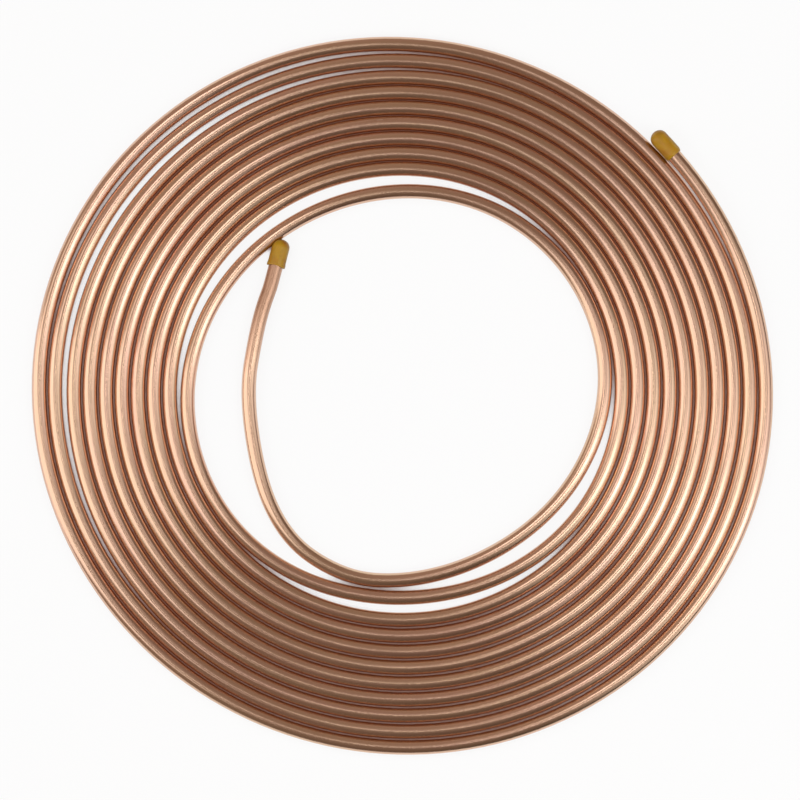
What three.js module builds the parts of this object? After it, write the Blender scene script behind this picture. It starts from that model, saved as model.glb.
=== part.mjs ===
import * as THREE from 'three';

// A coil of soft copper tube, wound as one flat spiral that lies on the floor.
// Seen from above it winds clockwise from the outer end to the free inner end.
// A vinyl cap is pushed over each end. Millimetres, +Z up, the floor at z = 0.

// The tube
const TUBE_OUTSIDE = 8;
const TUBE_WALL = 0.8;

// The winding. Angles are in degrees, counted anticlockwise from +X.
const OUTER_TURN_RADIUS = 200;
const OVALITY = 2.75;
const OVAL_ANGLE = -19;
const START_ANGLE = 40.5;
const LONGEST_WINDING = 3870;

// Clear gap between neighbouring turns: its mean, and how it varies round the coil
const GAP_MEAN = 0.66;
const GAP_SIDE = 0.19;
const GAP_SIDE_ANGLE = -90;
const GAP_WAVE = 0.21;
const GAP_WAVE_ANGLE = -30;

// Places where a turn has sprung away from the turn outside it.
// wound: degrees of winding from the outer end. reach: degrees to either side.
// opens: extra gap at the middle. The last three make the free tail in the bore,
// and the very last bends its tip back towards the turns.
const LOOSE_PLACES = [
  { wound: 641.5, reach: 65, opens: 1.3 },
  { wound: 971.5, reach: 98, opens: 1.9 },
  { wound: 3366.5, reach: 60, opens: 3.3 },
  { wound: 3526.5, reach: 97, opens: 4.75 },
  { wound: 3686.5, reach: 61, opens: 5.4 },
  { wound: 3784.5, reach: 47.5, opens: 9.6 },
  { wound: 3825.5, reach: 66.5, opens: 23.7 },
  { wound: 3873.5, reach: 16, opens: -4.8 },
];

// Both ends are straight where a cap holds them, and rise over the last stretch of
// winding
const END_STRAIGHT = 12.5;
const END_RISE_REACH = 40;

// The caps: a thimble with a domed end and a small bead round its mouth. The outer one
// is pushed on as far as it goes. The inner one isn't, and its dome is left hollow.
const OUTER_GRIP = 12.2;
const INNER_GRIP = 8.1;
const INNER_HOLLOW = 1.9;
const CAP_DOME = 3.8;
const CAP_WALL = 0.7;
const CAP_CLEARANCE = 0.06;
const CAP_BEAD = 0.15;
const CAP_END_SPACE = 0.3;
const CAP_TO_TURN = 0.1;
const PRESSED_TO_TURN = 0.2;

// How finely the shapes are cut
const SIDES_OUTSIDE = 12;
const SIDES_BORE = 6;
const STATIONS_PER_TURN = 33;
const CAP_SIDES = 32;
const DOME_STEPS = 6;

const COPPER = 0xb8694a;
const VINYL = 0xd9a520;

// Sizes that follow from those above. The many-sided outside is drawn around the
// tube's circle, and the bore is as large as gives the real wall's cross-section.
const DEG = Math.PI / 180;
const TUBE_RADIUS = TUBE_OUTSIDE / 2;
const TUBE_CORNER = TUBE_RADIUS / Math.cos(Math.PI / SIDES_OUTSIDE);
const METAL_AREA = Math.PI * (TUBE_OUTSIDE - TUBE_WALL) * TUBE_WALL;
const BORE_AREA = polygonArea(SIDES_OUTSIDE, TUBE_CORNER) - METAL_AREA;
const BORE_CORNER = Math.sqrt(BORE_AREA / polygonArea(SIDES_BORE, 1));
const CAP_BORE_RADIUS = TUBE_CORNER + CAP_CLEARANCE;
const CAP_RADIUS = CAP_BORE_RADIUS + CAP_WALL;
const BEAD_RADIUS = CAP_RADIUS + CAP_BEAD;
const STATION_STEP = 360 / STATIONS_PER_TURN;

function polygonArea(sides, cornerRadius) {
  return sides / 2 * Math.sin(2 * Math.PI / sides) * cornerRadius ** 2;
}

// A smooth bump: 1 in the middle, 0 from a distance of 1 outwards
function bump(distance) {
  const x = Math.min(Math.abs(distance), 1);
  return (1 + Math.cos(Math.PI * x)) / 2;
}

// Gap that an evenly packed coil has after this much winding
function packedGap(wound) {
  const angle = START_ANGLE - wound;
  const side = GAP_SIDE * Math.cos((angle - GAP_SIDE_ANGLE) * DEG);
  const wave = GAP_WAVE * Math.cos(2 * (angle - GAP_WAVE_ANGLE) * DEG);
  return GAP_MEAN + side + wave;
}

// Gap between the tube here and the turn just outside it
function gapToOuterTurn(wound) {
  let gap = packedGap(wound);
  for (const place of LOOSE_PLACES) {
    gap += place.opens * bump((wound - place.wound) / place.reach);
  }
  return gap;
}

// The first turn is slightly oval, and runs inwards by one pitch
function firstTurnRadius(wound) {
  const pitch = TUBE_OUTSIDE + packedGap(360);
  const oval = OVALITY * Math.cos(2 * (START_ANGLE - wound - OVAL_ANGLE) * DEG);
  return OUTER_TURN_RADIUS - pitch * wound / 360 + oval;
}

// Each later turn lies one tube and one gap inside the turn before it
function radiusAt(wound) {
  const turn = Math.floor(wound / 360);
  const inFirstTurn = wound - 360 * turn;
  let radius = firstTurnRadius(inFirstTurn);
  for (let n = 1; n <= turn; n += 1) {
    radius -= TUBE_OUTSIDE + gapToOuterTurn(inFirstTurn + 360 * n);
  }
  return radius;
}

// A cap is thicker than the tube. The inner one lies on its bead.
const INNER_RISE = BEAD_RADIUS - TUBE_RADIUS;

// The outer end rides up on the shoulder of the turn beside it, so that its cap's bead
// clears that turn
function outerRise() {
  const apart = BEAD_RADIUS + CAP_TO_TURN + TUBE_CORNER;
  const sideways = TUBE_OUTSIDE + packedGap(360);
  const onShoulder = Math.sqrt(Math.max(0, apart ** 2 - sideways ** 2));
  return Math.max(onShoulder, BEAD_RADIUS - TUBE_RADIUS);
}

// Centre of the tube after this much winding, when the winding ends at `end`
function centreAt(wound, end) {
  const radius = radiusAt(wound);
  const angle = (START_ANGLE - wound) * DEG;
  const outerEnd = outerRise() * bump(wound / END_RISE_REACH);
  const innerEnd = INNER_RISE * bump((end - wound) / END_RISE_REACH);
  const height = TUBE_RADIUS + outerEnd + innerEnd;
  return new THREE.Vector3(radius * Math.cos(angle), radius * Math.sin(angle), height);
}

// Direction in which the tube runs on, towards the inner end
function directionAt(wound, end) {
  const before = centreAt(Math.max(wound - 0.1, 0), end);
  const after = centreAt(Math.min(wound + 0.1, end), end);
  return after.sub(before).normalize();
}

// The nearest point on the centre line of the turn outside the inner end
function nearestOnTurnOutside(point, end) {
  const beside = Math.round((end - 360) / STATION_STEP);
  let nearest = null;
  for (let station = beside - 3; station < beside + 3; station += 1) {
    const from = centreAt(station * STATION_STEP, end);
    const to = centreAt((station + 1) * STATION_STEP, end);
    const onTurn = new THREE.Line3(from, to).closestPointToPoint(point, true, new THREE.Vector3());
    if (!nearest || point.distanceTo(onTurn) < point.distanceTo(nearest)) {
      nearest = onTurn;
    }
  }
  return nearest;
}

// How far the inner cap's wall would stay clear of that turn, just beyond the tube's end
function wallClearance(end) {
  const out = directionAt(end, end);
  const centre = centreAt(end, end).addScaledVector(out, END_STRAIGHT + CAP_END_SPACE);
  const towards = nearestOnTurnOutside(centre, end).sub(centre).normalize();
  const across = towards.addScaledVector(out, -towards.dot(out)).normalize();
  const wall = centre.clone().addScaledVector(across, CAP_RADIUS);
  return wall.distanceTo(nearestOnTurnOutside(wall, end)) - TUBE_CORNER;
}

// The inner end stops where its cap's wall comes to the turn outside it
function windingLength() {
  let end = LONGEST_WINDING;
  while (wallClearance(end) < CAP_TO_TURN) {
    end -= 0.5;
  }
  return end;
}

const WINDING_END = windingLength();

// Centre line of the tube. Its stations stand at equal winding angles, so that the
// facets of neighbouring turns run side by side, with one more beyond either end.
class SpiralCurve extends THREE.Curve {
  constructor() {
    super();
    this.inWinding = Math.ceil(WINDING_END / STATION_STEP);
    this.steps = this.inWinding + 2;
  }

  woundAt(u) {
    const station = Math.round(u * this.steps) - 1;
    return Math.min(Math.max(station, 0) * STATION_STEP, WINDING_END);
  }

  getUtoTmapping(u) {
    return u;
  }

  getTangent(u, target = new THREE.Vector3()) {
    return target.copy(directionAt(this.woundAt(u), WINDING_END));
  }

  getPoint(u, target = new THREE.Vector3()) {
    const station = Math.round(u * this.steps);
    let beyond = 0;
    if (station === 0) beyond = -END_STRAIGHT;
    if (station === this.steps) beyond = END_STRAIGHT;
    target.copy(centreAt(this.woundAt(u), WINDING_END));
    return target.addScaledVector(this.getTangent(u), beyond);
  }

  // The cross-section never twists: its first axis stays level
  computeFrenetFrames(segments) {
    const frames = { tangents: [], normals: [], binormals: [] };
    for (let i = 0; i <= segments; i += 1) {
      const tangent = this.getTangent(i / segments);
      const level = new THREE.Vector3(0, 0, 1).cross(tangent).normalize();
      frames.tangents.push(tangent);
      frames.normals.push(level);
      frames.binormals.push(tangent.clone().cross(level));
    }
    return frames;
  }
}

// Corners of a regular polygon that has flats at its top and bottom
function flatTopped(sides, cornerRadius) {
  const corners = [];
  for (let i = 0; i < sides; i += 1) {
    const angle = Math.PI / 2 + (i + 0.5) * 2 * Math.PI / sides;
    corners.push(new THREE.Vector2(cornerRadius * Math.cos(angle), cornerRadius * Math.sin(angle)));
  }
  return corners;
}

function tubeGeometry(curve) {
  const section = new THREE.Shape(flatTopped(SIDES_OUTSIDE, TUBE_CORNER));
  section.holes.push(new THREE.Path(flatTopped(SIDES_BORE, BORE_CORNER).reverse()));
  return new THREE.ExtrudeGeometry(section, { steps: curve.steps, extrudePath: curve });
}

// Points of a dome, from its rim to its tip or back
function domeProfile(radius, height, base) {
  const points = [];
  for (let i = 0; i < DOME_STEPS; i += 1) {
    const angle = i / DOME_STEPS * Math.PI / 2;
    points.push(new THREE.Vector2(radius * Math.cos(angle), base + height * Math.sin(angle)));
  }
  points.push(new THREE.Vector2(0, base + height));
  return points;
}

// Half cross-section of a cap about its own axis, with the tube's end at 0. `hollow` is
// how far the dome stands off from the tube's end.
function capProfile(grip, hollow) {
  const outside = [
    new THREE.Vector2(CAP_BORE_RADIUS, -grip),
    new THREE.Vector2(CAP_RADIUS, -grip),
    new THREE.Vector2(BEAD_RADIUS, -grip + CAP_WALL * 0.5),
    new THREE.Vector2(BEAD_RADIUS, -grip + CAP_WALL * 1.5),
    new THREE.Vector2(CAP_RADIUS, -grip + CAP_WALL * 2.5),
  ];
  const inside = [];
  if (hollow > 0) {
    for (const along of [CAP_END_SPACE, CAP_END_SPACE + hollow / 2]) {
      outside.push(new THREE.Vector2(CAP_RADIUS, along));
      inside.push(new THREE.Vector2(CAP_BORE_RADIUS, along));
    }
  }
  const base = CAP_END_SPACE + hollow;
  outside.push(...domeProfile(CAP_RADIUS, CAP_DOME + CAP_WALL, base));
  inside.push(...domeProfile(CAP_BORE_RADIUS, CAP_DOME, base));
  return { outside, inside: inside.reverse() };
}

// A cap on the end of the tube: `out` points away from the tube along its axis
function capGeometry(tubeEnd, out, profile) {
  const points = [...profile.outside, ...profile.inside, profile.outside[0].clone()];
  const geometry = new THREE.LatheGeometry(points, CAP_SIDES);
  const level = new THREE.Vector3(0, 0, 1).cross(out).normalize();
  const third = level.clone().cross(out);
  geometry.applyMatrix4(new THREE.Matrix4().makeBasis(level, out, third));
  geometry.translate(tubeEnd.x, tubeEnd.y, tubeEnd.z);
  return geometry;
}

// The inner cap leans on the turn outside it, which presses the hollow dome in
function pressOnTurn(geometry, profile) {
  const points = [...profile.outside, ...profile.inside, profile.outside[0]];
  const place = geometry.getAttribute('position');
  const at = new THREE.Vector3();
  for (let i = 0; i < place.count; i += 1) {
    const ring = i % points.length;
    const isInside = ring >= profile.outside.length && ring < points.length - 1;
    const apart = TUBE_CORNER + PRESSED_TO_TURN + (isInside ? CAP_WALL : 0);
    at.fromBufferAttribute(place, i);
    const onTurn = nearestOnTurnOutside(at, WINDING_END);
    const away = at.clone().sub(onTurn);
    if (points[ring].y > CAP_END_SPACE && away.length() < apart) {
      at.copy(onTurn).addScaledVector(away.normalize(), apart);
      place.setXYZ(i, at.x, at.y, at.z);
    }
  }
}

function piece(name, geometry, color, metalness, roughness) {
  const material = new THREE.MeshStandardMaterial({ color, metalness, roughness });
  const mesh = new THREE.Mesh(geometry, material);
  mesh.name = name;
  return mesh;
}

// Moves the finished part so that it is centred on the origin, on the floor
function centreOnFloor(group) {
  const box = new THREE.Box3().setFromObject(group, true);
  const middle = box.getCenter(new THREE.Vector3());
  for (const mesh of group.children) {
    mesh.geometry.translate(-middle.x, -middle.y, 0);
  }
}

function buildPart() {
  const curve = new SpiralCurve();
  const backwards = curve.getTangent(0).negate();
  const outerCap = capGeometry(curve.getPoint(0), backwards, capProfile(OUTER_GRIP, 0));
  const innerProfile = capProfile(INNER_GRIP, INNER_HOLLOW);
  const innerCap = capGeometry(curve.getPoint(1), curve.getTangent(1), innerProfile);
  pressOnTurn(innerCap, innerProfile);
  const group = new THREE.Group();
  group.name = 'copper_tube_coil';
  group.add(piece('copper_tube', tubeGeometry(curve), COPPER, 1, 0.3));
  group.add(piece('outer_end_cap', outerCap, VINYL, 0, 0.45));
  group.add(piece('inner_end_cap', innerCap, VINYL, 0, 0.45));
  centreOnFloor(group);
  return group;
}

export default buildPart();
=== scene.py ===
"""A coil of soft copper tube: one flat spiral that lies on the floor, a vinyl cap over each end.

Lengths are in millimetres where a name or a comment says nothing else, and MM turns them into the
frame's metres. Angles are in degrees, anticlockwise from +X. +Z is up, the floor is at z = 0, and
the camera looks straight down.
"""

import math

import bpy
import numpy as np
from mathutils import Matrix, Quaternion, Vector


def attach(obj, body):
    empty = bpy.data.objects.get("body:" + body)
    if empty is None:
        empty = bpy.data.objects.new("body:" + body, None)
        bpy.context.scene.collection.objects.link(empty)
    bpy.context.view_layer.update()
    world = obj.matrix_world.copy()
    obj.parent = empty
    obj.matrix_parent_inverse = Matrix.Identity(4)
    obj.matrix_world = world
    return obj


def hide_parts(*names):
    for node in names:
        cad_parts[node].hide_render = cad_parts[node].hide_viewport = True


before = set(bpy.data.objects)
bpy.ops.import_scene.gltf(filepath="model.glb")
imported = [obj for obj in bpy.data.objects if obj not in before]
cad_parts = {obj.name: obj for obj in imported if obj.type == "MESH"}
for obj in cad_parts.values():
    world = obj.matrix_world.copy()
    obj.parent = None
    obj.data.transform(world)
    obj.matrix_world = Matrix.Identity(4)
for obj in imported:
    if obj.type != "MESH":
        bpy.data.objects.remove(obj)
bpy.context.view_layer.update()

MM = 0.001
DEG = math.pi / 180

# The tube and its winding, as in the CAD part
TUBE_OUTSIDE = 8.0
TUBE_RADIUS = TUBE_OUTSIDE / 2
TUBE_WALL = 0.8
OUTER_TURN_RADIUS = 200.0
OVALITY = 2.75
OVAL_ANGLE = -19.0
START_ANGLE = 40.5
WINDING_END = 3864.0
GAP_MEAN = 0.66
GAP_SIDE = 0.19
GAP_SIDE_ANGLE = -90.0
GAP_WAVE = 0.21
GAP_WAVE_ANGLE = -30.0
# Where a turn has sprung away from the turn outside it: degrees of winding from the outer end,
# degrees that it reaches to either side, and the extra gap at its middle
LOOSE_PLACES = (
    (641.5, 65, 1.3),
    (971.5, 98, 1.9),
    (3366.5, 60, 3.3),
    (3526.5, 97, 4.75),
    (3686.5, 61, 5.4),
    (3784.5, 47.5, 9.6),
    (3825.5, 66.5, 23.7),
    (3873.5, 16, -4.8),
)
END_STRAIGHT = 12.5
OUTER_RISE = 4.03
INNER_RISE = 1.05
END_RISE_REACH = 40.0
# The middle of the coil's outline, which the frame puts at its origin
MIDDLE = np.array([2.118, -2.223, 0.0])

# How finely the tube is cut
STATIONS_PER_TURN = 160
STATIONS_PER_END = 3
SIDES_OUTSIDE = 32
SIDES_BORE = 16
DIRECTION_STEP = 0.1


def bump(distance):
    """1 in the middle, 0 from a distance of 1 outwards."""
    return (1 + np.cos(np.pi * np.minimum(np.abs(distance), 1))) / 2


def packed_gap(wound):
    """Gap that an evenly packed coil has after this much winding."""
    angle = START_ANGLE - wound
    side = GAP_SIDE * np.cos((angle - GAP_SIDE_ANGLE) * DEG)
    wave = GAP_WAVE * np.cos(2 * (angle - GAP_WAVE_ANGLE) * DEG)
    return GAP_MEAN + side + wave


def gap_to_outer_turn(wound):
    """Gap between the tube here and the turn just outside it."""
    gap = packed_gap(wound)
    for at, reach, opens in LOOSE_PLACES:
        gap = gap + opens * bump((wound - at) / reach)
    return gap


def radius_at(wound):
    """Radius of the winding: each turn lies one tube and one gap inside the turn before it."""
    turn = np.floor(wound / 360)
    in_first = wound - 360 * turn
    oval = OVALITY * np.cos(2 * (START_ANGLE - in_first - OVAL_ANGLE) * DEG)
    radius = OUTER_TURN_RADIUS - (TUBE_OUTSIDE + packed_gap(360)) * in_first / 360 + oval
    for n in range(1, int(turn.max()) + 1):
        pitch = TUBE_OUTSIDE + gap_to_outer_turn(in_first + 360 * n)
        radius = radius - np.where(turn >= n, pitch, 0)
    return radius


def centre_at(wound):
    """Points of the tube's centre line after this much winding."""
    radius = radius_at(wound)
    angle = (START_ANGLE - wound) * DEG
    outer_end = OUTER_RISE * bump(wound / END_RISE_REACH)
    inner_end = INNER_RISE * bump((WINDING_END - wound) / END_RISE_REACH)
    height = TUBE_RADIUS + outer_end + inner_end
    return np.stack([radius * np.cos(angle), radius * np.sin(angle), height], -1) - MIDDLE


def unit(v):
    return v / np.linalg.norm(v, axis=-1, keepdims=True)


def direction_at(wound):
    """Directions in which the tube runs on, towards its inner end."""
    after = centre_at(np.minimum(wound + DIRECTION_STEP, WINDING_END))
    before = centre_at(np.maximum(wound - DIRECTION_STEP, 0))
    return unit(after - before)


def tube_line():
    """Stations along the whole tube, with a straight stub at each end: points and directions."""
    count = round(WINDING_END / 360 * STATIONS_PER_TURN)
    wound = np.linspace(0, WINDING_END, count + 1)
    points = centre_at(wound)
    along = direction_at(wound)
    stub = np.arange(STATIONS_PER_END, 0, -1)[:, None] / STATIONS_PER_END * END_STRAIGHT
    head = points[0] - stub * along[0]
    tail = points[-1] + stub[::-1] * along[-1]
    points = np.concatenate([head, points, tail])
    before, after = along[:1], along[-1:]
    along = np.concatenate([before] * STATIONS_PER_END + [along] + [after] * STATIONS_PER_END)
    return points, along


def length_along(points):
    """How far along the tube each of its stations is."""
    steps = np.linalg.norm(np.diff(points, axis=0), axis=1)
    return np.concatenate([[0], np.cumsum(steps)])


def levels(along):
    """For each direction, a level unit vector across it, out of the coil, and one that is up."""
    level = unit(np.cross([0.0, 0.0, 1.0], along))
    return level, np.cross(along, level)


def new_object(name, verts, faces, material, smooth=True):
    mesh = bpy.data.meshes.new(name)
    mesh.from_pydata([tuple(v) for v in verts], [], [tuple(f) for f in faces])
    mesh.materials.append(material)
    mesh.polygons.foreach_set("use_smooth", [smooth] * len(mesh.polygons))
    obj = bpy.data.objects.new(name, mesh)
    bpy.context.scene.collection.objects.link(obj)
    return obj


def add_map(mesh, name, corners):
    layer = mesh.uv_layers.new(name=name)
    layer.uv.foreach_set("vector", np.asarray(corners, np.float32).ravel())


def ring_angles(sides):
    """Angles round the section from straight down, by way of the inner side of the coil."""
    return -np.pi + 2 * np.pi * np.arange(sides) / sides


def ring_points(points, level, up, angles, radius):
    """A ring of vertices round each station."""
    out = np.cos(angles)[None, :, None] * up[:, None, :]
    out = out + np.sin(angles)[None, :, None] * level[:, None, :]
    return points[:, None, :] + radius * out


def wall_faces(stations, sides, first, inward):
    """Quads of a tube wall, station by station."""
    i, j = np.meshgrid(np.arange(stations - 1), np.arange(sides), indexing="ij")
    k = (j + 1) % sides
    a, b = first + i * sides + j, first + i * sides + k
    c, d = b + sides, a + sides
    quads = np.stack([a, b, c, d] if inward else [a, d, c, b], -1)
    return quads.reshape(-1, 4)


# The tube's surface laid out flat for textures, on a square of 1: rows of tube one above the
# other, each with the bore in a thin strip above its outside, and the two end faces in a corner.
# Starts and heights of the strips are shares of a row.
MAP_ROWS = 20
MAP_OUTSIDE_FROM = 0.02
MAP_OUTSIDE = 0.86
MAP_BORE_FROM = 0.90
MAP_BORE = 0.08
MAP_SCALE = (0.98, 0.97)
MAP_MARGIN = (0.01, 0.005)
MAP_END_RADIUS = 0.006
MAP_HEAD_AT = (0.10, 0.986)
MAP_TAIL_AT = (0.20, 0.986)


def row_map(stations, sides, start, height, inward):
    """Texture places of the corners of one wall."""
    i, j = np.meshgrid(np.arange(stations - 1), np.arange(sides), indexing="ij")
    per_row = math.ceil((stations - 1) / MAP_ROWS)
    row, at = i // per_row, i % per_row
    u0, u1 = at / per_row, (at + 1) / per_row
    v0 = (row + start + height * j / sides) / MAP_ROWS
    v1 = (row + start + height * (j + 1) / sides) / MAP_ROWS
    order = [(u0, v0), (u0, v1), (u1, v1), (u1, v0)]
    if not inward:
        order = [order[0], order[3], order[2], order[1]]
    corners = np.stack([np.stack(c, -1) for c in order], 2).reshape(-1, 2)
    return corners * MAP_SCALE + MAP_MARGIN


def end_faces(outer, bore, flip):
    """Triangles that close the wall at an end, two sides outside to one side of the bore."""
    faces = []
    for k in range(SIDES_BORE):
        a, b, c = outer + 2 * k, outer + 2 * k + 1, outer + (2 * k + 2) % SIDES_OUTSIDE
        p, q = bore + k, bore + (k + 1) % SIDES_BORE
        faces += [(a, b, p), (p, b, q), (b, c, q)]
    return [f[::-1] for f in faces] if flip else faces


def end_map(faces, verts, centre, level, up, middle):
    """Texture places of the corners of one end's faces, round `middle`."""
    flat = []
    for f in faces:
        for v in f:
            off = verts[v] - centre
            offset = MAP_END_RADIUS * np.array([off @ level, off @ up]) / TUBE_RADIUS
            flat.append(np.array(middle) + offset)
    return np.array(flat)


def make_tube(material):
    """The whole tube with its bore.

    Its attribute "straightened" holds where each vertex would be if the tube were drawn out
    straight along X, in metres, so that the copper's streaks run along the tube.
    """
    points, along = tube_line()
    level, up = levels(along)
    length = length_along(points)
    walls, straight = [], []
    for sides, radius in ((SIDES_OUTSIDE, TUBE_RADIUS), (SIDES_BORE, TUBE_RADIUS - TUBE_WALL)):
        angles = ring_angles(sides)
        walls.append(ring_points(points, level, up, angles, radius).reshape(-1, 3))
        run = np.repeat(length[:, None], sides, 1)
        across = np.broadcast_to(radius * np.sin(angles), run.shape)
        high = np.broadcast_to(radius * np.cos(angles), run.shape)
        straight.append(np.stack([run, across, high], -1).reshape(-1, 3))
    verts = np.concatenate(walls)
    stations, bore = len(points), len(points) * SIDES_OUTSIDE
    head = end_faces(0, bore, True)
    tail = end_faces((stations - 1) * SIDES_OUTSIDE, bore + (stations - 1) * SIDES_BORE, False)
    faces = [*wall_faces(stations, SIDES_OUTSIDE, 0, False)]
    faces += [*wall_faces(stations, SIDES_BORE, bore, True), *head, *tail]
    tube = new_object("tube", verts * MM, faces, material)
    mesh = tube.data
    flat_from = len(mesh.polygons) - len(head) - len(tail)
    for polygon in mesh.polygons[flat_from:]:
        polygon.use_smooth = False
    corners = [
        row_map(stations, SIDES_OUTSIDE, MAP_OUTSIDE_FROM, MAP_OUTSIDE, False),
        row_map(stations, SIDES_BORE, MAP_BORE_FROM, MAP_BORE, True),
        end_map(head, verts, points[0], level[0], up[0], MAP_HEAD_AT),
        end_map(tail, verts, points[-1], level[-1], up[-1], MAP_TAIL_AT),
    ]
    add_map(mesh, "OFBake", np.concatenate(corners))
    held = mesh.attributes.new("straightened", "FLOAT_VECTOR", "POINT")
    held.data.foreach_set("vector", (np.concatenate(straight) * MM).astype(np.float32).ravel())
    mesh.validate()
    return tube


# Materials. Their lengths are in metres, as Blender's are. A noise is given by how many of its
# waves there are to a metre, along the tube, across it and up it or the same every way, and a
# name that ends in BETWEEN holds the values of a noise from which what it drives begins and at
# which it is full. CRISP is the roughness of a noise whose fine waves show well.

CRISP = 0.6
ROUGH_BETWEEN = (0.3, 0.7)


class Nodes:
    """A material's node tree, with short calls to add and link nodes."""

    def __init__(self, name):
        self.material = bpy.data.materials.new(name)
        self.material.use_nodes = True
        self.tree = self.material.node_tree
        self.shader = self.tree.nodes["Principled BSDF"]

    def add(self, kind, settings=None, **inputs):
        node = self.tree.nodes.new("ShaderNode" + kind)
        for key, value in (settings or {}).items():
            setattr(node, key, value)
        for key, value in inputs.items():
            self.put(node.inputs[key.replace("_", " ")], value)
        return node

    def put(self, socket, value):
        if isinstance(value, bpy.types.NodeSocket):
            self.tree.links.new(value, socket)
        else:
            socket.default_value = value

    def set(self, **inputs):
        for key, value in inputs.items():
            self.put(self.shader.inputs[key.replace("_", " ")], value)

    def math(self, operation, a, b):
        node = self.add("Math", {"operation": operation})
        self.put(node.inputs[0], a)
        self.put(node.inputs[1], b)
        return node.outputs[0]

    def noise(self, place, waves, detail, roughness=0.5):
        """Noise at `place`, with `waves` to a metre each way."""
        stretched = self.add("VectorMath", {"operation": "MULTIPLY"})
        self.put(stretched.inputs[0], place)
        stretched.inputs[1].default_value = waves
        vector = stretched.outputs[0]
        node = self.add("TexNoise", Vector=vector, Scale=1.0, Detail=detail, Roughness=roughness)
        return node.outputs["Fac"]

    def range(self, value, low, high, to_low=0.0, to_high=1.0):
        node = self.add("MapRange", Value=value)
        for key, limit in (
            ("From Min", low),
            ("From Max", high),
            ("To Min", to_low),
            ("To Max", to_high),
        ):
            node.inputs[key].default_value = limit
        return node.outputs["Result"]

    def mix(self, factor, first, second):
        """A mixture of two colours, whose sockets come behind those for numbers and vectors."""
        node = self.add("Mix", {"data_type": "RGBA"})
        self.put(node.inputs[0], factor)
        self.put(node.inputs[6], first)
        self.put(node.inputs[7], second)
        return node.outputs[2]

    def bumps(self, height, distance, normal=None):
        node = self.add("Bump", Height=height, Distance=distance)
        if normal is not None:
            self.put(node.inputs["Normal"], normal)
        return node.outputs["Normal"]


COPPER_ROSE = (0.745, 0.486, 0.368, 1)
COPPER_GOLD = (0.730, 0.506, 0.353, 1)
COPPER_BROWN = (0.52, 0.31, 0.21, 1)
COPPER_TINTS = (6, 220, 220)
COPPER_STREAKS = (14, 420, 420)
COPPER_PATCHES = (26, 130, 130)
COPPER_WAVES = (28, 90, 90)
COPPER_DRAW_LINES = (9, 1300, 1300)
COPPER_WAVE_HEIGHT = 0.00002
COPPER_LINE_HEIGHT = 0.0000015
GOLD_BETWEEN = (0.35, 0.65)
STREAKS_BETWEEN = (0.5, 0.75)
PATCHES_BETWEEN = (0.45, 0.7)
# Roughness where the copper is bright, and what dullness adds to it
COPPER_ROUGH = (0.18, 0.24)
DULL_ROUGH = 0.16
# How dull the patches of streaks get
STREAKS_DULL = 0.35
# The stretch below the inner cap that is darkened with painted shade and made rougher: distances
# from the tube's end, where it fades out and where it is full, and how strong it then is
END_SHADE_FADES = 0.07
END_SHADE_FULL = 0.03
END_SHADE_STRENGTH = 0.85


def copper_material(length):
    """Bright drawn copper, for a tube of this length in metres, with painted shade below the
    inner cap.
    """
    n = Nodes("drawn_copper")
    along = n.add("Attribute", {"attribute_name": "straightened"}).outputs["Vector"]
    tints = n.noise(along, COPPER_TINTS, detail=3)
    tint = n.mix(n.range(tints, *GOLD_BETWEEN), COPPER_ROSE, COPPER_GOLD)
    streaks = n.noise(along, COPPER_STREAKS, detail=4, roughness=CRISP)
    patches = n.noise(along, COPPER_PATCHES, detail=3, roughness=CRISP)
    in_patches = n.range(patches, *PATCHES_BETWEEN)
    dull = n.math("MULTIPLY", n.range(streaks, *STREAKS_BETWEEN), in_patches)
    run = n.add("SeparateXYZ", Vector=along).outputs["X"]
    # Painted shade below the inner cap: its colour turns brown there and its roughness rises
    end_shade = n.range(run, length - END_SHADE_FADES, length - END_SHADE_FULL, 0.0, END_SHADE_STRENGTH)
    wear_and_end_shade = n.math("MAXIMUM", n.math("MULTIPLY", dull, STREAKS_DULL), end_shade)
    # Brown from random dull streaks, and from the painted shade below the inner cap
    n.set(Base_Color=n.mix(wear_and_end_shade, tint, COPPER_BROWN), Metallic=1.0)
    rough = n.range(streaks, *ROUGH_BETWEEN, *COPPER_ROUGH)
    n.set(Roughness=n.math("ADD", rough, n.math("MULTIPLY", wear_and_end_shade, DULL_ROUGH)))
    waves = n.noise(along, COPPER_WAVES, detail=1)
    lines = n.noise(along, COPPER_DRAW_LINES, detail=2)
    normal = n.bumps(waves, COPPER_WAVE_HEIGHT)
    n.set(Normal=n.bumps(lines, COPPER_LINE_HEIGHT, normal))
    return n.material


VINYL = (0.46, 0.245, 0.005, 1)
VINYL_DEEP = (0.36, 0.140, 0.006, 1)
# The olive of the mottle, also used for the painted shade on the upright sides
VINYL_OLIVE = (0.22, 0.130, 0.004, 1)
VINYL_MOTTLE = (260, 260, 260)
VINYL_CLOUDS = (110, 110, 110)
VINYL_GRAIN = (1400, 1400, 1400)
VINYL_GRAIN_HEIGHT = 0.00003
VINYL_ROUGH = (0.34, 0.46)
VINYL_SOFTNESS = 0.12
VINYL_SOFT_DEPTH = 0.0015
DEEP_BETWEEN = (0.4, 0.62)
MOTTLE_BETWEEN = (0.5, 0.75)
# How much the wall faces up where painted shade on its sides begins, and where it is full
SIDE_SHADE_BETWEEN = (0.75, 0.1)
# How olive the mottle gets, and how strongly painted shade darkens the sides towards olive
MOTTLE_OLIVE = 0.4
SIDE_SHADE_OLIVE = 0.5


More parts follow.
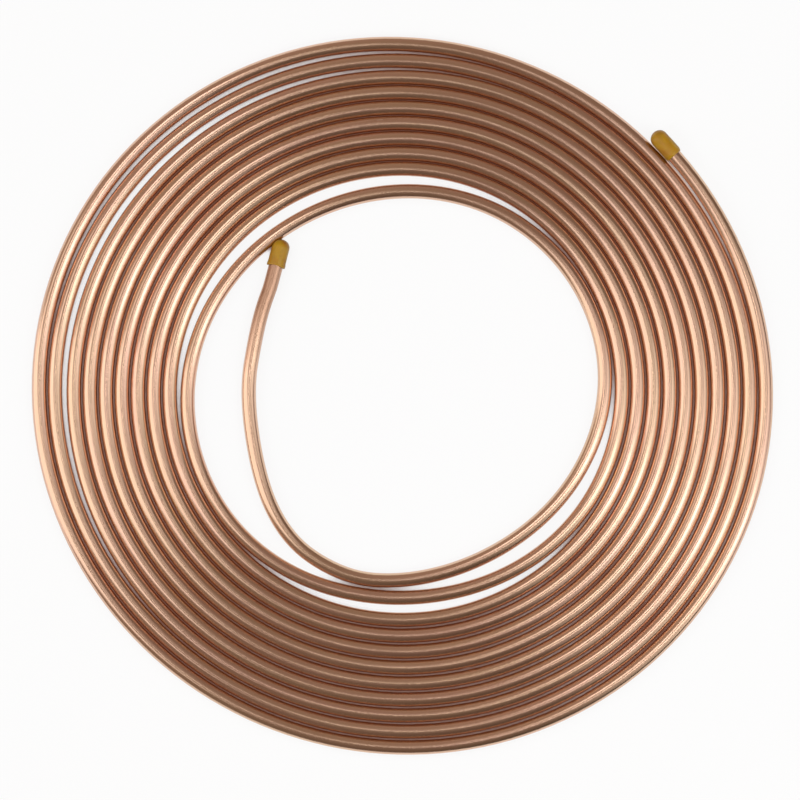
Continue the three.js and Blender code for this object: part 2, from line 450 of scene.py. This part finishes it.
def vinyl_material():
    """Mottled mustard vinyl, with painted shade that makes its upright sides darker and more
    olive.
    """
    n = Nodes("soft_vinyl")
    place = n.add("TexCoord").outputs["Object"]
    mottle = n.noise(place, VINYL_MOTTLE, detail=4, roughness=CRISP)
    clouds = n.noise(place, VINYL_CLOUDS, detail=1)
    colour = n.mix(n.range(clouds, *DEEP_BETWEEN), VINYL, VINYL_DEEP)
    upward = n.add("SeparateXYZ", Vector=n.add("NewGeometry").outputs["Normal"]).outputs["Z"]
    in_mottle = n.range(mottle, *MOTTLE_BETWEEN, 0.0, MOTTLE_OLIVE)
    # Painted shade: the upright sides turn darker and more olive, as light falls off there
    painted_side_shade = n.range(upward, *SIDE_SHADE_BETWEEN, 0.0, SIDE_SHADE_OLIVE)
    mottle_and_side_shade = n.math("MAXIMUM", in_mottle, painted_side_shade)
    n.set(Base_Color=n.mix(mottle_and_side_shade, colour, VINYL_OLIVE))
    n.set(Roughness=n.range(mottle, *ROUGH_BETWEEN, *VINYL_ROUGH))
    n.set(Subsurface_Weight=VINYL_SOFTNESS, Subsurface_Scale=VINYL_SOFT_DEPTH)
    grain = n.noise(place, VINYL_GRAIN, detail=3)
    n.set(Normal=n.bumps(grain, VINYL_GRAIN_HEIGHT))
    return n.material


WHITE = (1, 1, 1, 1)
FLOOR_WHITE = (0.93, 0.93, 0.925, 1)
FLOOR_SHADE = (0.915, 0.915, 0.915, 1)
FLOOR_CLOUDS = (3, 3, 3)
FLOOR_ROUGHNESS = 0.9
FLOOR_SPECULAR = 0.2
# Part of the floor's white that the lamps don't make, and how open to the sky a place has to
# be to show it. The narrow slots between turns that lie side by side show a painted brown shade
# instead.
FLOOR_GLOW = 0.86
FLOOR_SLOT_SHADE = (0.16, 0.058, 0.032, 1)
SKY_BETWEEN = (0.15, 0.22)
SKY_REACH = 0.02
SKY_SAMPLES = 24


def floor_material():
    """Pale and matt. The camera, metal and glass see it as a white background, with painted brown
    shade in the narrow slots between turns.
    """
    n = Nodes("plain_floor")
    place = n.add("TexCoord").outputs["Object"]
    clouds = n.noise(place, FLOOR_CLOUDS, detail=2)
    n.set(Base_Color=n.mix(clouds, FLOOR_SHADE, FLOOR_WHITE), Roughness=FLOOR_ROUGHNESS)
    n.set(Specular_IOR_Level=FLOOR_SPECULAR)
    sky = n.add("AmbientOcclusion", {"samples": SKY_SAMPLES}, Distance=SKY_REACH).outputs["AO"]
    # Painted shade: where the sky hardly reaches, camera and metal see a dark brown glow instead
    # of white
    white_with_slot_shade = n.mix(n.range(sky, *SKY_BETWEEN), FLOOR_SLOT_SHADE, WHITE)
    white = n.add("Emission", Color=white_with_slot_shade, Strength=1.0)
    rays = n.add("LightPath").outputs
    seen = n.math("MAXIMUM", rays["Is Camera Ray"], rays["Is Glossy Ray"])
    seen = n.math("MAXIMUM", seen, rays["Is Transmission Ray"])
    both = n.add("MixShader", Fac=n.math("MULTIPLY", seen, FLOOR_GLOW))
    n.put(both.inputs[1], n.shader.outputs[0])
    n.put(both.inputs[2], white.outputs[0])
    n.put(n.tree.nodes["Material Output"].inputs["Surface"], both.outputs[0])
    return n.material


# The caps: distances along the cap's axis are from the tube's end, outwards. Angles round it
# are in radians from straight up, towards the left for someone who looks outwards along it.

CAP_SEGMENTS = 96
CAP_WALL = 0.7
CAP_BORE_RADIUS = 4.05
CAP_RADIUS = 4.9
CAP_DOME = 4.5
CAP_TO_TURN = 0.15
DOME_RINGS = 16
BODY_RINGS = 24
BORE_RINGS = 6

# mouth, shoulder: where the cap begins and where its dome does. rolled: how far the mouth
# closes in on the tube. flare: how far it stands out at its sides. long_sides: how much
# further back it reaches there. ridge: angle and height of a soft moulding ridge. pressed:
# whether the cap is pushed against the turn outside it.
OUTER_CAP = {
    "mouth": -12.2,
    "shoulder": 0.3,
    "rolled": 0.35,
    "flare": 0.0,
    "long_sides": 0.1,
    "ridge": (0.5, 0.03),
    "pressed": False,
}
INNER_CAP = {
    "mouth": -7.9,
    "shoulder": 2.2,
    "rolled": 0.05,
    "flare": 0.28,
    "long_sides": 0.9,
    "ridge": (-0.1, 0.09),
    "pressed": True,
}

# The rounded rim of the mouth. Each point's first number is how far it lies from the mouth, and
# the second how far outside the bore or inside the closed mouth's radius.
RIM_FROM_BORE = ((0.14, 0.05), (0.03, 0.22))
RIM_FROM_OUTSIDE = ((0.0, 0.30), (0.09, 0.12), (0.28, 0.02))
# Where the rings of the body begin and end, and where the mouth has opened to the full radius
BODY_FROM_MOUTH = 0.55
BODY_TO_SHOULDER = 0.2
OPENS_FROM = 0.3
OPENS_WITHIN = 1.3
BORE_FROM_SHOULDER = 1
BORE_FROM_MOUTH = 0.4


def cap_outside(cap):
    """(along, radius) of the outer surface, from the inner rim of the mouth to the tip."""
    mouth, shoulder = cap["mouth"], cap["shoulder"]
    closed = CAP_RADIUS - cap["rolled"]
    rim = [(mouth + along, CAP_BORE_RADIUS + apart) for along, apart in RIM_FROM_BORE]
    rim += [(mouth + along, closed - apart) for along, apart in RIM_FROM_OUTSIDE]
    body = []
    for along in np.linspace(mouth + BODY_FROM_MOUTH, shoulder - BODY_TO_SHOULDER, BODY_RINGS):
        opened = 1 - bump((along - mouth - OPENS_FROM) / OPENS_WITHIN)
        body.append((along, closed + cap["rolled"] * opened))
    dome = []
    for i in range(DOME_RINGS):
        angle = i / DOME_RINGS * math.pi / 2
        dome.append((shoulder + CAP_DOME * math.sin(angle), CAP_RADIUS * math.cos(angle)))
    return rim + body + dome + [(shoulder + CAP_DOME, 0.0)]


def cap_inside(cap):
    """(along, radius) of the inner surface, from the tip back to the mouth.

    Its dome has half the rings that the outside has.
    """
    shoulder = cap["shoulder"]
    profile = [(shoulder + CAP_DOME - CAP_WALL, 0.0)]
    for i in range(DOME_RINGS - 1, -1, -2):
        angle = i / DOME_RINGS * math.pi / 2
        along = shoulder + (CAP_DOME - CAP_WALL) * math.sin(angle)
        profile.append((along, CAP_BORE_RADIUS * math.cos(angle)))
    bore_from = shoulder - BORE_FROM_SHOULDER
    for along in np.linspace(bore_from, cap["mouth"] + BORE_FROM_MOUTH, BORE_RINGS):
        profile.append((along, CAP_BORE_RADIUS))
    return profile


# Unevenness of the soft wall. A swell is its height, how often it comes round the cap, its turn,
# and how much that turns for each millimetre along.
SWELLS = ((0.05, 2, 0.5, 0.23), (0.03, 5, 0, -0.4))
SWELLS_FULL_AT = 1.5
RIDGE_WIDTH = 0.22
RIDGE_AT = 3.5
RIDGE_REACH = 5
FLARE_AT = 0.7
FLARE_REACH = 1.6
LONG_SIDES_REACH = 3.2


def uneven(cap, along, radius, angles):
    """A ring of the outer surface with its slight unevenness: places along, and radii."""
    from_mouth = along - cap["mouth"]
    sideways = np.sin(angles) ** 2
    shifted = along - cap["long_sides"] * sideways * bump(from_mouth / LONG_SIDES_REACH)
    soft = np.zeros(len(angles))
    for height, times, turn, twist in SWELLS:
        soft = soft + height * np.sin(times * angles + turn + twist * along)
    ridge_angle, ridge_height = cap["ridge"]
    ridge = ridge_height * bump((angles - ridge_angle) / RIDGE_WIDTH)
    soft = soft + ridge * bump((from_mouth - RIDGE_AT) / RIDGE_REACH)
    soft = soft * np.clip(from_mouth / SWELLS_FULL_AT, 0, 1) * min(radius / CAP_RADIUS, 1)
    flare = cap["flare"] * sideways * bump((from_mouth - FLARE_AT) / FLARE_REACH)
    return shifted, radius + soft + flare


# The stretch of winding beside the inner cap, and how finely it is searched
BESIDE_FROM = WINDING_END - 400
BESIDE_TO = WINDING_END - 330
BESIDE_STATIONS = 400


def press_on_turn(verts, walls):
    """Moves what would lie in the turn outside the inner end back to that turn's surface.

    `walls` holds how much wall stands between each vertex and the cap's outside.
    """
    turn = centre_at(np.linspace(BESIDE_FROM, BESIDE_TO, BESIDE_STATIONS))
    apart = TUBE_RADIUS + CAP_TO_TURN
    for i, vert in enumerate(verts):
        nearest = turn[np.argmin(np.linalg.norm(turn - vert, axis=1))]
        off = vert - nearest
        distance = np.linalg.norm(off)
        if distance < apart + walls[i]:
            verts[i] = nearest + off / distance * (apart + walls[i])


def make_cap(name, end, out, cap, material):
    """A soft cap over the tube's end, whose axis runs along `out`."""
    level, up = levels(out)
    outside = cap_outside(cap)
    verts, walls, rings = [], [], []
    for index, (along, radius) in enumerate(outside + cap_inside(cap)):
        is_outside = index < len(outside)
        angles = np.linspace(-math.pi, math.pi, CAP_SEGMENTS, endpoint=False)
        if radius == 0:
            angles = angles[:1]
        places = np.full(len(angles), along)
        radii = np.full(len(angles), radius)
        if is_outside and radius > 0:
            places, radii = uneven(cap, along, radius, angles)
        rings.append(list(range(len(verts), len(verts) + len(angles))))
        for angle, place, r in zip(angles, places, radii):
            side = math.cos(angle) * up + math.sin(angle) * level
            verts.append(end + out * place + r * side)
            walls.append(0 if is_outside else CAP_WALL)
    verts = np.array(verts)
    if cap["pressed"]:
        press_on_turn(verts, walls)
    faces = []
    for a, b in zip(rings, rings[1:] + rings[:1]):
        for j in range(CAP_SEGMENTS):
            k = (j + 1) % CAP_SEGMENTS
            face = [a[j % len(a)], a[k % len(a)], b[k % len(b)], b[j % len(b)]]
            face = list(dict.fromkeys(face))
            if len(face) > 2:
                faces.append(face[::-1])
    return new_object(name, verts * MM, faces, material)


# Lights: the metal mirrors soft boxes that stand SOFTBOX_DISTANCE metres from the origin. For
# each: azimuth, tilt from straight up, roll, width and height in metres, and radiance.
SOFTBOX_DISTANCE = 1.3
SOFTBOXES = {
    "strip_right": (335, 27, 6, 0.17, 0.94, 3.05),
    "strip_upper_left": (135, 16, -26, 0.16, 0.64, 2.7),
    "softbox_left": (187, 74, -10, 0.84, 4.6, 1.18),
    "spot_left": (163, 48, -8, 0.44, 0.42, 0.8),
    "softbox_right": (340, 39, -32, 1.05, 1.7, 0.46),
    "fill_right": (347, 59, -40, 1.06, 1.02, 0.72),
}

# A ring of soft light round the camera, for the things that aren't metal
OVERHEAD_AZIMUTHS = (45, 135, 225, 315)
OVERHEAD_TILT = 38
OVERHEAD_SPREAD = 30
OVERHEAD_STRENGTH = 0.28
OVERHEAD_COLOUR = (0.87, 1.0, 1.09)

# The studio round the coil is lighter towards its left and its far side: its level in a
# direction is STUDIO_LEVEL plus the product of STUDIO_LEAN with that direction.
STUDIO_COLOUR = (0.262, 0.198, 0.160, 1)
STUDIO_LEVEL = 1.0
STUDIO_LEAN = (-0.55, 0.44, 0)


def softbox(name, azimuth, tilt, roll, width, height, radiance):
    """A panel that shines at the coil."""
    data = bpy.data.lights.new(name, "AREA")
    data.shape = "RECTANGLE"
    data.size, data.size_y = width, height
    data.energy = radiance * math.pi * width * height
    lamp = bpy.data.objects.new(name, data)
    level = math.sin(tilt * DEG)
    towards = Vector(
        (level * math.cos(azimuth * DEG), level * math.sin(azimuth * DEG), math.cos(tilt * DEG))
    )
    lamp.location = towards * SOFTBOX_DISTANCE
    lamp.rotation_mode = "QUATERNION"
    turned = Quaternion((0, 0, 1), roll * DEG)
    lamp.rotation_quaternion = towards.to_track_quat("Z", "Y") @ turned
    lamp.visible_camera = False
    bpy.context.scene.collection.objects.link(lamp)


def overhead(azimuth, matt):
    """One side of the ring of soft light, on the `matt` things alone.

    Bare metal has no matt light to give back, so it would only gather noise from this one.
    """
    name = "overhead_%d" % azimuth
    data = bpy.data.lights.new(name, "SUN")
    data.energy = OVERHEAD_STRENGTH
    data.angle = OVERHEAD_SPREAD * DEG
    data.color = OVERHEAD_COLOUR
    lamp = bpy.data.objects.new(name, data)
    lamp.rotation_euler = (0, OVERHEAD_TILT * DEG, azimuth * DEG)
    lamp.visible_glossy = False
    lamp.light_linking.receiver_collection = matt
    bpy.context.scene.collection.objects.link(lamp)


def make_lights(matt):
    for name, settings in SOFTBOXES.items():
        softbox(name, *settings)
    for azimuth in OVERHEAD_AZIMUTHS:
        overhead(azimuth, matt)


def make_world():
    world = bpy.data.worlds.new("studio")
    world.use_nodes = True
    nodes, links = world.node_tree.nodes, world.node_tree.links
    towards = nodes.new("ShaderNodeTexCoord").outputs["Generated"]
    lighter = nodes.new("ShaderNodeVectorMath")
    lighter.operation = "DOT_PRODUCT"
    lighter.inputs[1].default_value = STUDIO_LEAN
    links.new(towards, lighter.inputs[0])
    level = nodes.new("ShaderNodeMath")
    level.inputs[1].default_value = STUDIO_LEVEL
    links.new(lighter.outputs["Value"], level.inputs[0])
    links.new(level.outputs[0], nodes["Background"].inputs["Strength"])
    nodes["Background"].inputs["Color"].default_value = STUDIO_COLOUR
    bpy.context.scene.world = world


# The camera looks down on this point of the floor, and its frame takes in VIEW_WIDTH at the
# height of the tube's centre line.
VIEW_CENTRE = (-1.35, -2.22)
VIEW_WIDTH = 438.36
CAMERA_HEIGHT = 2500.0
SENSOR_WIDTH = 36
CLIP_END = 100


def make_camera():
    data = bpy.data.cameras.new("camera")
    data.sensor_width = SENSOR_WIDTH
    data.lens = SENSOR_WIDTH * (CAMERA_HEIGHT - TUBE_RADIUS) / VIEW_WIDTH
    data.clip_end = CLIP_END
    camera = bpy.data.objects.new("camera", data)
    camera.location = (VIEW_CENTRE[0] * MM, VIEW_CENTRE[1] * MM, CAMERA_HEIGHT * MM)
    bpy.context.scene.collection.objects.link(camera)
    bpy.context.scene.camera = camera


# Half the floor's width, in metres, and how far below the coil it lies
FLOOR_HALF = 6.0
FLOOR_DROP = 0.02


def make_floor():
    h = FLOOR_HALF
    corners = [(-h, -h, 0), (h, -h, 0), (h, h, 0), (-h, h, 0)]
    floor = new_object("floor", corners, [(0, 1, 2, 3)], floor_material(), smooth=False)
    floor.location.z = -FLOOR_DROP * MM
    return floor


def main():
    line, along = tube_line()
    copper, vinyl = copper_material(length_along(line)[-1] * MM), vinyl_material()
    tube = make_tube(copper)
    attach(tube, "root")
    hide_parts("copper_tube")
    matt = bpy.data.collections.new("matt_things")
    for name, end, out, cap in (
        ("outer_end_cap", line[0], -along[0], OUTER_CAP),
        ("inner_end_cap", line[-1], along[-1], INNER_CAP),
    ):
        soft_cap = make_cap("soft_" + name, end, out, cap, vinyl)
        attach(soft_cap, "root")
        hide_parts(name)
        matt.objects.link(soft_cap)
    matt.objects.link(make_floor())
    make_lights(matt)
    make_world()
    make_camera()
    bpy.context.scene.view_settings.view_transform = "Standard"


main()
